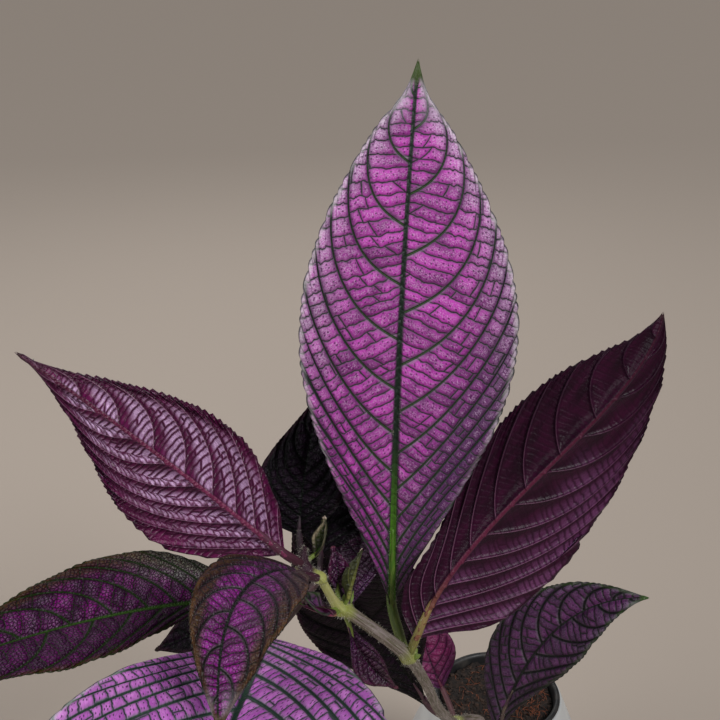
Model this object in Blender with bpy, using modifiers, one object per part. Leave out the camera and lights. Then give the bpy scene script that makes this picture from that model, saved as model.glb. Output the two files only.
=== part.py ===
"""Potted persian shield: a leaning stem with large quilted leaves, potted, in a plain planter.

Sizes below are in millimetres and scaled by MM. +Z is up and the planter's base lies on z = 0.
"""

import math
import random

import bmesh
import bpy
from mathutils import Vector

MM = 0.001
SEED = 7
OBJECT_NAME = "potted_persian_shield"

# Gap left between pieces that touch.
GAP = 0.3

# Blade: sheet thickness, depth of the keel under the midrib, height of quilting, depth of teeth.
SHEET = 0.7
KEEL = 1.9
QUILT = 2.0
TOOTH = 1.4

# Height of the net between two side veins, as a share of the quilting.
NET = 0.3

# Side vein number k, counted from the base, leaves the midrib at (k / all) ** VEIN_POWER of its length.
# It climbs towards the tip by these shares of the half width. Rows of the blade lie two to a vein.
VEIN_POWER = 1.88
CLIMB_EVEN = 0.69
CLIMB_EDGE = 1.43
FIRST_ROW = 3
BASE = 0.012

# A lobe widens the blade about this share of its length, this far to both sides.
LOBE_AT = 0.1
LOBE_SPREAD = 0.09

# Profiles of the pots and the soil as (radius, height).
PLANTER_INSIDE = [
    (0, 5), (42, 5), (47.5, 12), (49.5, 30), (48, 45),
    (44.5, 59), (39.5, 73), (33.5, 88), (30.3, 99), (30.3, 104),
]
PLANTER_OUTSIDE = [
    (31.2, 105), (32.6, 104.6), (33.4, 103), (38.3, 90),
    (44, 75.5), (49, 60), (52.3, 46), (54, 31),
]
PLANTER_FOOT = [(53, 17), (50, 6), (47.5, 1.5), (45.5, 0), (0, 0)]
LINER_INSIDE = [(0, 22), (21.5, 22), (28.9, 104.5), (29.3, 106)]
LINER_RIM = [(30.4, 106.7), (31.8, 106.2), (31.9, 105.3), (29.95, 105.3)]
LINER_OUTSIDE = [(29.8, 103.5), (22.6, 21), (0, 21)]
SOIL_WALL = [(0, 22.4), (21.1, 22.4), (28.5, 106), (0, 106)]
SOIL_TOP = 102.6
SOIL_CELLS = 13
DRAIN_HOLES = 4

# The stem: points (x, y, z) with their radius. Swollen joints carry the leaves.
STEM_POINTS = [
    ((-9, -19, 76), 2.6),
    ((-10, -21.5, 103), 2.6),
    ((-12, -27, 112), 2.5),
    ((-17, -36, 121), 2.4),
    ((-23, -44, 127), 2.4),
    ((-25, -47, 129), 3.1),
    ((-27, -53, 134), 2.3),
    ((-36, -80, 166), 2.2),
    ((-43, -102, 198), 2.1),
    ((-50, -122, 226), 2.2),
    ((-52, -128, 233), 3.0),
    ((-55, -130, 238), 2.3),
    ((-64, -131, 247), 2.2),
    ((-73, -132, 255.5), 2.2),
    ((-76, -133, 258), 2.8),
    ((-78, -134, 261), 1.7),
    ((-82, -135.5, 270.5), 1.5),
    ((-83, -136, 273), 2.2),
    ((-86, -134.5, 274.5), 1.6),
    ((-89, -132, 276), 2.1),
    ((-89, -129, 278.5), 1.3),
    ((-88.5, -127, 280), 0.6),
]
JOINTS = {
    "low": (-25, -47, 129),
    "pair": (-52, -128, 233),
    "bud": (-76, -133, 258),
    "upper": (-83, -136, 273),
    "top": (-89, -132, 276),
}
BUDS = [
    ("pair", (3.2, -1, -0.5)),
    ("pair", (2.6, 2.2, -1)),
    ("bud", (1.5, 2.2, 1.5)),
    ("low", (-1, -3, 1)),
]


def leaf(
    joint, path, face, half, widest=(1, 1), taper=1.28, lobe=(0, 0), fold=14, curl=0,
    veins=10, columns=3, petiole=1.5,
):
    """path: Bezier handles of the midrib, base to tip. face: where the upper side looks, at both ends.
    half: widths on both sides of the midrib. widest: over 1 puts the widest part nearer the tip.
    taper: a higher value draws the ends out. lobe: widths added near the base.
    veins: how many side veins would fill each half."""
    return dict(locals())


LEAVES = {
    "leaf_tall_centre": leaf(
        "pair", [(-57.5, -110, 236), (-58.5, -128, 358), (-50.5, -86, 441)],
        [(0.05, -0.93, 0.3), (0, -0.95, 0.25)], (34.3, 39), (1.13, 1.1), 1.28,
        veins=15.5, columns=5, petiole=1.8,
    ),
    "leaf_right_underside": leaf(
        "pair", [(-50, -131, 241), (-36, -113, 284), (30, -108, 323), (33, -103, 359)],
        [(0, 0.97, -0.05), (-0.1, 0.97, -0.05)], (39.5, 22.5), (0.62, 1.15), 1.2,
        lobe=(0, 7.5), fold=12, curl=0.05, veins=13, columns=5,
    ),
    "leaf_left_underside": leaf(
        "top", [(-93.5, -137, 282.5), (-138, -144, 333), (-176, -140, 361)],
        [(-0.15, 0.98, 0), (0, 0.99, 0)], (21, 31), (0.7, 0.6), 1.6, veins=11.5, columns=5,
    ),
    "leaf_lower_left": leaf(
        "top", [(-109, -134, 262.5), (-155, -145, 271), (-213, -196, 276)],
        [(0, -0.45, 0.9), (0, -0.45, 0.9)], (16.5, 21.5), (1.3, 0.72), 1.15,
        fold=8, veins=11.5, columns=4,
    ),
    "leaf_front_arching": leaf(
        "upper", [(-87.5, -141, 278.5), (-114, -183, 317), (-109, -217, 278)],
        [(-0.2, -0.35, 0.9), (-0.1, -0.85, 0.4)], (22.5, 13.5), (1.07, 0.88), 1.1, fold=18,
    ),
    "leaf_front_large": leaf(
        "upper", [(-102, -137, 249), (-96, -218, 301), (-150, -322, 232)],
        [(0, 0.1, 1), (-0.1, -0.3, 1)], (53, 50), (1.09, 1), fold=6, veins=14.5, columns=5, petiole=1.8,
    ),
    "leaf_right_small": leaf(
        "low", [(-8, -59, 132), (7, -59.5, 212), (50, -74, 219)],
        [(-0.2, -0.55, 0.8), (-0.2, -0.75, 0.6)], (20, 17), (0.75, 1), fold=12, veins=11,
    ),
    "leaf_back_dark": leaf(
        "top", [(-91, -121, 280), (-91, -112.5, 297), (-83, -86, 323)],
        [(-0.1, -0.9, 0.4), (-0.2, -0.9, 0.4)], (17, 15), (0.68, 0.75), fold=8, veins=9.5, petiole=1.1,
    ),
    "leaf_behind_stem": leaf(
        "low", [(-30, -36, 138), (-38.5, -34, 154), (-45, -28, 186)],
        [(0.1, -0.9, 0.4), (0.1, -0.9, 0.4)], (12, 13), fold=10, veins=8, petiole=1.2,
    ),
    "leaf_shade_long": leaf(
        "low", [(-36, -50, 137), (-62, -67, 198), (-97, -80, 266)],
        [(-0.2, -0.9, 0.3), (-0.2, -0.9, 0.3)], (26, 32), (1.2, 1.6), fold=10, veins=10.5,
    ),
    "leaf_shade_inner": leaf(
        "upper", [(-83.5, -121, 272), (-80, -101, 280), (-73, -88, 296)],
        [(-0.1, -0.75, 0.6), (-0.1, -0.75, 0.6)], (13, 16), (0.8, 0.8), fold=12, veins=8, petiole=0.9,
    ),
    "leaf_shade_small": leaf(
        "bud", [(-104, -126, 256), (-127, -120.5, 239), (-146, -121, 230)],
        [(-0.2, -0.5, 0.8), (-0.2, -0.5, 0.8)], (9, 9), fold=15, veins=8, columns=2, petiole=1.1,
    ),
}


def young(joint, path, face, half, fold, veins=4, columns=1, petiole=0.8):
    """A small leaf of one width, whose upper side looks the same way all along."""
    shape = dict(fold=fold, veins=veins, columns=columns, petiole=petiole)
    return leaf(joint, path, [face, face], (half, half), **shape)


# Young leaves grow out of the stem and are fused to it.
YOUNG_LEAVES = {
    "young_shade": young(
        "bud", [(-73, -121, 249), (-70, -105, 259), (-66, -88, 277)],
        (-0.3, -0.9, 0.3), 10, 12, veins=7, columns=2, petiole=0.9,
    ),
    "young_hanging": young(
        "bud", [(-73, -130, 249), (-70, -126.5, 228), (-55, -125, 215)],
        (0.5, -0.5, -0.6), 7, 35, veins=6, columns=2, petiole=0.9,
    ),
    "young_left_long": young(
        "bud", [(-78, -138, 260), (-80, -145, 264), (-90, -148, 272)], (0.1, 0.3, 0.9), 3.5, 35
    ),
    "young_folded": young(
        "bud", [(-74, -132.5, 262), (-72.5, -133.2, 269.5), (-69, -125, 278)], (-0.6, 0.5, 0.3), 4, 40
    ),
    "young_upright": young(
        "bud", [(-77.5, -129.5, 263), (-75.8, -131.2, 272), (-79, -128, 281)], (0.2, -0.9, 0.3), 4.5, 25
    ),
    "young_silver": young(
        "bud", [(-80, -139, 262), (-83.5, -145.5, 265), (-89, -146, 276)], (0.1, -0.3, 0.9), 5, 25
    ),
    "young_back": young(
        "top", [(-86, -127.5, 276.5), (-81, -127.5, 281), (-82, -123, 290)], (-0.7, -0.6, 0.3), 4, 35
    ),
}

COLOURS = {
    "planter": ((0.62, 0.63, 0.63), 0.35),
    "liner": ((0.012, 0.012, 0.013), 0.5),
    "soil": ((0.035, 0.02, 0.012), 0.95),
    "stem": ((0.3, 0.34, 0.17), 0.6),
    "bright": ((0.32, 0.05, 0.3), 0.45),
    "plum": ((0.09, 0.012, 0.055), 0.45),
}


def mm(point):
    """A point given in millimetres, in metres."""
    return Vector(point) * MM


def paint(obj, name):
    """Give the object its own material."""
    colour, roughness = COLOURS[name]
    material = bpy.data.materials.new(obj.name)
    material.use_nodes = True
    shader = material.node_tree.nodes["Principled BSDF"]
    shader.inputs["Base Color"].default_value = (*colour, 1)
    shader.inputs["Roughness"].default_value = roughness
    material.diffuse_color = (*colour, 1)
    obj.data.materials.clear()
    obj.data.materials.append(material)


def add_object(name, mesh):
    """Link a mesh to the part's collection."""
    obj = bpy.data.objects.new(name, mesh)
    part.objects.link(obj)
    return obj


def freeze(obj):
    """Apply the object's modifiers, or turn a curve into a welded mesh."""
    bpy.context.view_layer.update()
    graph = bpy.context.evaluated_depsgraph_get()
    mesh = bpy.data.meshes.new_from_object(obj.evaluated_get(graph))
    if obj.type == "CURVE":
        bm = bmesh.new()
        bm.from_mesh(mesh)
        bmesh.ops.remove_doubles(bm, verts=bm.verts, dist=1e-6)
        bmesh.ops.recalc_face_normals(bm, faces=bm.faces)
        bm.to_mesh(mesh)
        bm.free()
        name = obj.name
        bpy.data.objects.remove(obj)
        return add_object(name, mesh)
    obj.modifiers.clear()
    obj.data = mesh
    return obj


def boolean(obj, operation, other, solver="EXACT"):
    """Join or cut with one object or a collection of objects, then remove them."""
    modifier = obj.modifiers.new(operation.lower(), "BOOLEAN")
    modifier.operation = operation
    modifier.solver = solver
    if isinstance(other, bpy.types.Collection):
        modifier.operand_type = "COLLECTION"
        modifier.collection = other
        freeze(obj)
        for helper in list(other.objects):
            bpy.data.objects.remove(helper)
        bpy.data.collections.remove(other)
    else:
        modifier.object = other
        freeze(obj)
        bpy.data.objects.remove(other)
    return obj


def tube(name, points, sides=6):
    """A round rod through points given as ((x, y, z), radius)."""
    curve = bpy.data.curves.new(name, "CURVE")
    curve.dimensions = "3D"
    curve.bevel_depth = MM
    curve.bevel_resolution = (sides - 4) // 2
    curve.use_fill_caps = True
    spline = curve.splines.new("POLY")
    spline.points.add(len(points) - 1)
    for place, (point, radius) in zip(spline.points, points):
        place.co = (*mm(point), 1)
        place.radius = radius
    return freeze(add_object(name, curve))


def turned(name, profile, sides):
    """A round solid whose profile starts and ends on the axis."""
    mesh = bpy.data.meshes.new(name)
    edges = [(i, i + 1) for i in range(len(profile) - 1)]
    mesh.from_pydata([mm((r, 0, z)) for r, z in profile], edges, [])
    obj = add_object(name, mesh)
    screw = obj.modifiers.new("turn", "SCREW")
    screw.steps = sides
    screw.render_steps = sides
    screw.use_merge_vertices = True
    screw.merge_threshold = 1e-5
    screw.use_normal_calculate = True
    return freeze(obj)


def midrib(spec, t):
    """Point and direction on the midrib, t from 0 at the base to 1 at the tip."""
    points = [Vector(p) for p in spec["path"]]
    while len(points) > 2:
        points = [a.lerp(b, t) for a, b in zip(points, points[1:])]
    return points[0].lerp(points[1], t), (points[1] - points[0]).normalized()


def along(spec, s, u):
    """Where a side vein that starts at s is when it has come to u, from -1 to 1 across the blade."""
    p = abs(u)
    length = (Vector(spec["path"][-1]) - Vector(spec["path"][0])).length
    climb = (CLIMB_EVEN * p + CLIMB_EDGE * p**3) * max(8, spec["half"][u > 0]) / length
    climb *= (1 - s**3) * (1 - (1 - s) ** 12)
    return 1 - (1 - s) * math.exp(-climb / (1 - s))


def blade_point(spec, s, u, lift=0.0, reach=0.0):
    """Point on the blade. lift and reach are in millimetres."""
    p = abs(u)
    t = along(spec, s, u)
    half = spec["half"][u > 0]
    outline = math.sin(math.pi * min(1, t ** spec["widest"][u > 0])) ** spec["taper"]
    lobe = spec["lobe"][u > 0] * math.exp(-(((t - LOBE_AT) / LOBE_SPREAD) ** 2))
    width = max(0.9 + 0.4 * (1 - t), half * outline + lobe + reach)
    point, ahead = midrib(spec, t)
    base_face, tip_face = (Vector(f) for f in spec["face"])
    face = base_face.lerp(tip_face, t)
    face = (face - face.dot(ahead) * ahead).normalized()
    across = ahead.cross(face)
    fold = math.radians(spec["fold"]) * min(1, 4 * (1 - t))
    out = width * p
    rise = out * math.sin(fold) + spec["curl"] * out * out / half + lift
    return point + across * math.copysign(out * math.cos(fold), u) + face * rise


def blade(name, spec):
    """Quilted sheet with toothed edges: rows follow the side veins, which alternate left and right."""
    rows = round(2 * spec["veins"]) - FIRST_ROW
    skipped = (FIRST_ROW / (rows + FIRST_ROW)) ** VEIN_POWER
    columns = spec["columns"]
    crosswise = [1 - (1 - c / columns) ** 1.25 for c in range(columns + 1)]
    mesh = bpy.data.meshes.new(name)
    bm = bmesh.new()
    bmesh.ops.create_grid(bm, x_segments=2 * columns, y_segments=rows, size=1)
    bm.verts.ensure_lookup_table()
    keel = {}
    for vert in bm.verts:
        step = round((vert.co.x + 1) * columns) - columns
        row = round((vert.co.y + 1) / 2 * rows)
        u = math.copysign(crosswise[abs(step)], step)
        p = abs(u)
        share = ((row + FIRST_ROW) / (rows + FIRST_ROW)) ** VEIN_POWER
        s = BASE + (1 - 2 * BASE) * (share - skipped) / (1 - skipped)
        crease = (row + (step > 0)) % 2
        sign = -1 if crease else 1
        inner = math.sin(math.pi * min(1, p * 1.15 + 0.12)) if step else 0
        if abs(step) % 2 and not crease:
            inner *= NET
        ends = min(1, 6 * s, 5 * (1 - s))
        size = min(1, (max(spec["half"]) - 3) / 24)
        lift = sign * QUILT / 2 * inner * ends * size
        reach = sign * TOOTH / 2 * (p > 0.99) * ends * size
        vert.co = mm(blade_point(spec, s, u, lift, reach))
        keel[vert.index] = 0 if step else 1 - 0.75 * s
    bmesh.ops.recalc_face_normals(bm, faces=bm.faces)
    bm.to_mesh(mesh)
    bm.free()
    obj = add_object(name, mesh)
    middle = mesh.vertices[len(mesh.vertices) // 2]
    if middle.normal.dot(Vector(spec["face"][0])) < 0:
        mesh.flip_normals()
    group = obj.vertex_groups.new(name="keel")
    for index, weight in keel.items():
        group.add([index], weight, "REPLACE")
    obj.modifiers.new("split", "TRIANGULATE")
    solid = obj.modifiers.new("sheet", "SOLIDIFY")
    solid.thickness = KEEL * MM
    solid.offset = -1
    solid.vertex_group = "keel"
    solid.thickness_vertex_group = SHEET / KEEL
    return freeze(obj)


def stalk(name, spec):
    """Petiole from the stem's joint into the keel of the blade."""
    start = Vector(JOINTS[spec["joint"]])
    radius = spec["petiole"]
    drop = -0.5 * radius
    first = blade_point(spec, 0.03, 0, drop)
    second = blade_point(spec, 0.1, 0, drop)
    last = blade_point(spec, 0.18, 0, -0.3)
    _, ahead = midrib(spec, 0)
    elbow = (start + first) / 2 - ahead * (first - start).length * 0.12
    places = [start, elbow, first, second, last]
    shares = [1.15, 1, 1, 0.8, 0.4]
    return tube(name, [(place, radius * share) for place, share in zip(places, shares)])


def grow(name, spec):
    """A blade with its petiole."""
    return boolean(blade(name, spec), "UNION", stalk(name + "_stalk", spec))


def ball(name, centre, radius):
    """A small faceted bud."""
    mesh = bpy.data.meshes.new(name)
    bm = bmesh.new()
    bmesh.ops.create_icosphere(bm, subdivisions=1, radius=radius * MM)
    bmesh.ops.scale(bm, verts=bm.verts, vec=(1, 1, 1.5))
    bmesh.ops.translate(bm, verts=bm.verts, vec=mm(centre))
    bm.to_mesh(mesh)
    bm.free()
    return add_object(name, mesh)


def make_stem():
    """The main stem with its young leaves and buds fused on."""
    stem = tube("stem", STEM_POINTS, sides=8)
    repeats = bpy.data.collections.new("fused_to_stem")
    bpy.context.scene.collection.children.link(repeats)
    grown = [grow(name, spec) for name, spec in YOUNG_LEAVES.items()]
    for number, (joint, offset) in enumerate(BUDS):
        grown.append(ball("bud_%d" % number, Vector(JOINTS[joint]) + Vector(offset), 1.5))
    for obj in grown:
        part.objects.unlink(obj)
        repeats.objects.link(obj)
    return boolean(stem, "UNION", repeats)


def stem_space(name, points):
    """A cutter that follows the stem and is wider by the gap."""
    return tube(name, [(point, radius + GAP) for point, radius in points], sides=8)


def make_soil():
    """Soil in the nursery pot: a lumpy slab cut to the pot's inside, with a hole for the stem."""
    mesh = bpy.data.meshes.new("lumps")
    bm = bmesh.new()
    bmesh.ops.create_grid(bm, x_segments=SOIL_CELLS, y_segments=SOIL_CELLS, size=32 * MM)
    for vert in bm.verts:
        dome = 1.8 * (1 - (vert.co.xy.length / MM / 30) ** 2)
        sideways = (draw.uniform(-0.9, 0.9), draw.uniform(-0.9, 0.9))
        vert.co += mm((*sideways, SOIL_TOP + dome + draw.uniform(-1.3, 1.3)))
    made = bmesh.ops.extrude_face_region(bm, geom=bm.faces[:])
    for vert in made["geom"]:
        if isinstance(vert, bmesh.types.BMVert):
            vert.co.z = 10 * MM
    bmesh.ops.recalc_face_normals(bm, faces=bm.faces)
    bm.to_mesh(mesh)
    bm.free()
    soil = turned("soil", SOIL_WALL, 28)
    boolean(soil, "INTERSECT", add_object("lumps", mesh))
    foot = [((-8.9, -18.75, 73), 2.6)] + STEM_POINTS[1:3]
    return boolean(soil, "DIFFERENCE", stem_space("hole", foot))


def make_liner():
    """Nursery pot that hangs by its rolled rim on the planter's mouth."""
    liner = turned("nursery_pot", LINER_INSIDE + LINER_RIM + LINER_OUTSIDE, 36)
    for number in range(DRAIN_HOLES):
        angle = (number + 0.5) * 2 * math.pi / DRAIN_HOLES
        centre = (14 * math.cos(angle), 14 * math.sin(angle))
        cutter = tube("drain", [((*centre, z), 3) for z in (18, 21.7, 26)], sides=12)
        boolean(liner, "DIFFERENCE", cutter)
    return liner


for old in list(bpy.data.objects):
    bpy.data.objects.remove(old)

draw = random.Random(SEED)
part = bpy.data.collections.new(OBJECT_NAME)
bpy.context.scene.collection.children.link(part)

planter = turned("planter", PLANTER_INSIDE + PLANTER_OUTSIDE + PLANTER_FOOT, 44)
paint(planter, "planter")
paint(make_liner(), "liner")
paint(make_soil(), "soil")
paint(make_stem(), "stem")
for leaf_name, leaf_spec in LEAVES.items():
    grown_leaf = grow(leaf_name, leaf_spec)
    boolean(grown_leaf, "DIFFERENCE", stem_space("seat", STEM_POINTS))
    paint(grown_leaf, "plum" if "underside" in leaf_name or "shade" in leaf_name else "bright")
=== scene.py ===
"""Looks of a potted persian shield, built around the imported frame.

Tables and helpers take millimetres and are scaled by MM.
"""

import math
import random

import bpy
import numpy as np
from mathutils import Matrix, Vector


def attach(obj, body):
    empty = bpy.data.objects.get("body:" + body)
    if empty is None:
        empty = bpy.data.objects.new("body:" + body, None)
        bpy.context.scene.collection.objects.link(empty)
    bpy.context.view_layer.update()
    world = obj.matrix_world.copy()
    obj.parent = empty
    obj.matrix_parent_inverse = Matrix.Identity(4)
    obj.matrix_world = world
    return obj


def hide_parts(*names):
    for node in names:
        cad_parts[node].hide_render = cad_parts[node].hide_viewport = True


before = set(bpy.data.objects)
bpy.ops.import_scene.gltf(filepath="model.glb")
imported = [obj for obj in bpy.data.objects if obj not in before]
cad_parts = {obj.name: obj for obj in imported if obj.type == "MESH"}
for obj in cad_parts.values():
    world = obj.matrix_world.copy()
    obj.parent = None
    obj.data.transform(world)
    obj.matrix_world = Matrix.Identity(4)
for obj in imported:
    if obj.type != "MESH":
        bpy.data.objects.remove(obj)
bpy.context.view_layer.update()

MM = 0.001
SEED = 11
ROOT = "root"

# Thickness of a blade away from its veins.
SHEET = 0.5

# Side vein number k of all starts at (k / all) ** VEIN_POWER of the midrib and climbs by CLIMB.
VEIN_POWER = 1.88
CLIMB = (0.69, 1.43)
FIRST_VEIN = 1.5

# Share of the midrib before the first row and after the last one, and the place and spread of lobes.
BASE = 0.012
LOBE_AT, LOBE_SPREAD = 0.1, 0.09

# Columns lie closer together near the midrib, and only the outermost ones take part in the teeth. Teeth
# fade out between these two widths of the blade.
COLUMN_POWER = 1.12
TOOTH_POWER = 10
TOOTH_FADE = (2, 9)

# Part of the midrib over which a drawn-out tip narrows, waves for each side vein, and the share of its
# height that the keel loses towards the tip.
DRAWN_PART = (0.87, 0.96)
WAVE_RATE = 0.55
KEEL_LOSS = 0.75

# Grooves over side veins and midrib as depth and half width, and the half width of the ribs below.
SIDE_GROOVE = (0.16, 0.5)
MID_GROOVE = (0.3, 1.2)
RIB_HALF = 0.42

# Relief: swelling for each millimetre between two side veins, up to a distance, then the heights of net
# and fine net.
SWELL = 0.062
SWELL_UP_TO = 16
CELL_RISE = 0.34
FINE_RISE = 0.08

# Size of the clouds in a leaf's colour, the scale of its grain, and how far a pattern shifts from one
# band between side veins to the next.
CLOUD = 7
GRAIN = 2.4
RUNG_SHIFT, FINE_SHIFT, SPECK_SHIFT = 7.31, 3.77, 5.3

# Added to a band's number in the right half of a leaf.
RIGHT_BANDS = 41

# Hairs as count, length and radius, and how far they stray from their direction.
HAIR_STRAY = 0.45
STALK_HAIRS = (60, 0.9, 0.045)
STEM_HAIRS = (1500, 1.25, 0.04)
RIB_HAIRS = (330, 1.0, 0.035)

# Least radius of a tube.
THINNEST = 0.05

draw = random.Random(SEED)


def srgb(rgb):
    """Colour given from 0 to 255, as linear values."""
    shares = [value / 255 for value in rgb]
    return (*(s / 12.92 if s <= 0.04045 else ((s + 0.055) / 1.055) ** 2.4 for s in shares), 1)


class Table:
    """Values that are read by name."""

    def __init__(self, **values):
        self.__dict__.update(values)


class Graph:
    """Makes the nodes of a shader tree or a geometry tree."""

    def __init__(self, tree):
        self.tree = tree

    def feed(self, node, inputs):
        """Set or link inputs, given by name or number."""
        for key, value in inputs.items():
            if isinstance(value, Value):
                self.tree.links.new(value.socket, node.inputs[key])
            else:
                node.inputs[key].default_value = value

    def make(self, kind, inputs, output=0, **settings):
        """A new node, as the value of one of its outputs."""
        node = self.tree.nodes.new(kind)
        for name, value in settings.items():
            setattr(node, name, value)
        self.feed(node, inputs)
        return Value(self, node.outputs[output])

    def op(self, operation, *values):
        return self.make("ShaderNodeMath", dict(enumerate(values)), operation=operation)

    def vector(self, x, y, z=0.0):
        return self.make("ShaderNodeCombineXYZ", {0: x, 1: y, 2: z})

    def position(self):
        return self.make("ShaderNodeNewGeometry", {}, "Position")

    def read(self, name):
        """The three values that the mesh holds under this name."""
        if self.tree.type == "GEOMETRY":
            kind = "GeometryNodeInputNamedAttribute"
            return self.make(kind, {0: name}, "Attribute", data_type="FLOAT_VECTOR").split()
        return self.make("ShaderNodeAttribute", {}, "Vector", attribute_name=name).split()


def operator(operation, swapped=False):
    """A method of Value for one kind of maths."""

    def method(self, other):
        return self.graph.op(operation, *((other, self) if swapped else (self, other)))

    return method


class Value:
    """The output of a node, which can be used in sums."""

    def __init__(self, graph, socket):
        self.graph = graph
        self.socket = socket

    __add__ = __radd__ = operator("ADD")
    __mul__ = __rmul__ = operator("MULTIPLY")
    __sub__, __rsub__ = operator("SUBTRACT"), operator("SUBTRACT", swapped=True)
    __truediv__ = operator("DIVIDE")
    least = operator("MINIMUM")

    def __abs__(self):
        return self.graph.op("ABSOLUTE", self)

    def smooth(self, low, high):
        """0 below low, 1 above high."""
        inputs = {"Value": self, "From Min": low, "From Max": high}
        return self.graph.make("ShaderNodeMapRange", inputs, "Result", interpolation_type="SMOOTHSTEP")

    def line(self, inner, outer):
        """1 on a line, 0 further away than outer."""
        return 1 - self.smooth(inner, outer)

    def dome(self, reach):
        """Rises from 0 at distance 0 to 1 at reach, rounded at the top."""
        share = 1 - (self / reach).least(1)
        return 1 - share * share

    def split(self):
        first = self.graph.make("ShaderNodeSeparateXYZ", {0: self})
        return [Value(self.graph, socket) for socket in first.socket.node.outputs]

    def scaled(self, scale):
        return self.graph.make("ShaderNodeVectorMath", {0: self, "Scale": scale}, operation="SCALE")

    def noise(self, scale, detail):
        return self.graph.make("ShaderNodeTexNoise", {"Vector": self, "Scale": scale, "Detail": detail})

    def voronoi(self, feature, randomness=1.0, dimensions="2D", output="Distance"):
        place = "W" if dimensions == "1D" else "Vector"
        inputs = {place: self, "Scale": 1, "Randomness": randomness}
        settings = {"feature": feature, "voronoi_dimensions": dimensions}
        return self.graph.make("ShaderNodeTexVoronoi", inputs, output, **settings)

    def blend(self, first, second):
        """Colour that goes from first to second as this value goes from 0 to 1."""
        first, second = (end if isinstance(end, Value) else srgb(end) for end in (first, second))
        return self.graph.make("ShaderNodeMix", {0: self, 6: first, 7: second}, 2, data_type="RGBA")


def layered(colour, layers):
    """The colour with layers over it, each given as a colour and its share."""
    for rgb, share in layers:
        colour = share.blend(colour, rgb)
    return colour


def net_of(graph, look):
    """Distances to the nearest cross vein and fine vein, and a random value for each cell of the net.

    Cross veins run from one side vein to the next like rungs. Some cells are split by a fork."""
    cell, fine = look.cell, look.fine
    x, y, band = graph.read("net")
    _, _, rung = graph.read("place")
    _, out, _ = graph.read("veins")
    bend = (graph.vector(x / CLOUD, y / CLOUD, band).noise(1.0, 1.5) - 0.5) * (0.6 + cell * 0.5)
    place = (rung + bend) / cell + band * RUNG_SHIFT
    rungs = place.voronoi("DISTANCE_TO_EDGE", 0.85, "1D") * cell
    chance, level, tone = place.voronoi("F1", 0.85, "1D", "Color").split()
    fork = abs(y + bend * 0.5 + (level - 0.5) * (cell * 1.6))
    fork = fork + graph.op("GREATER_THAN", chance, look.forks) * 9
    small = graph.vector(out / fine, rung / fine + band * FINE_SHIFT).voronoi("DISTANCE_TO_EDGE", 0.9)
    return rungs.least(fork), small * fine, tone


def unit(vectors):
    """The same directions with length 1."""
    return vectors / np.maximum(np.linalg.norm(vectors, axis=-1, keepdims=True), 1e-9)


def run(points):
    """Length of a path up to each of its points."""
    return np.concatenate([[0], np.cumsum(np.linalg.norm(np.diff(points, axis=0), axis=-1))])


def joined(*parts):
    """Values that belong together, side by side."""
    return np.stack(parts, axis=-1)


def hump(distance, reach):
    """1 at distance 0, falling off over reach."""
    return np.exp(-((distance / reach) ** 2))


def turns(sides):
    """Angles of equal steps round a circle."""
    return 2 * np.pi * np.arange(sides) / sides


def smoothstep(value, low, high):
    share = np.clip((value - low) / (high - low), 0, 1)
    return share * share * (3 - 2 * share)


def bezier(path, t):
    """Points and unit directions of the midrib for an array of t."""
    points = [np.array(p, float) for p in path]
    t = np.asarray(t, float)[..., None]
    while len(points) > 2:
        points = [a + (b - a) * t for a, b in zip(points, points[1:])]
    ahead = points[1] - points[0]
    return points[0] + ahead * t, unit(ahead)


def vein_rows(total, length, step):
    """Row positions in vein numbers, with a row on every vein of both sides."""
    rows = [FIRST_VEIN]
    for half in range(round(2 * FIRST_VEIN), round(2 * total)):
        low, high = half / 2, (half + 1) / 2
        reach = length * ((high / total) ** VEIN_POWER - (low / total) ** VEIN_POWER)
        count = max(3, math.ceil(reach / step))
        rows += [low + (high - low) * (i + 1) / count for i in range(count)]
    return np.array(rows)


def teeth(spec, column, arc):
    """How far the margin stands out, from half a tooth inwards to half a tooth outwards."""
    pitch, depth, kind = spec.tooth
    phase = arc / pitch + 0.35 * np.sin(arc * 0.31 + column)
    if kind == "round":
        return depth * (np.abs(np.sin(np.pi * phase)) ** 0.6 - 0.6)
    return depth * ((phase % 1) ** 1.3 - 0.5)


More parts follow.
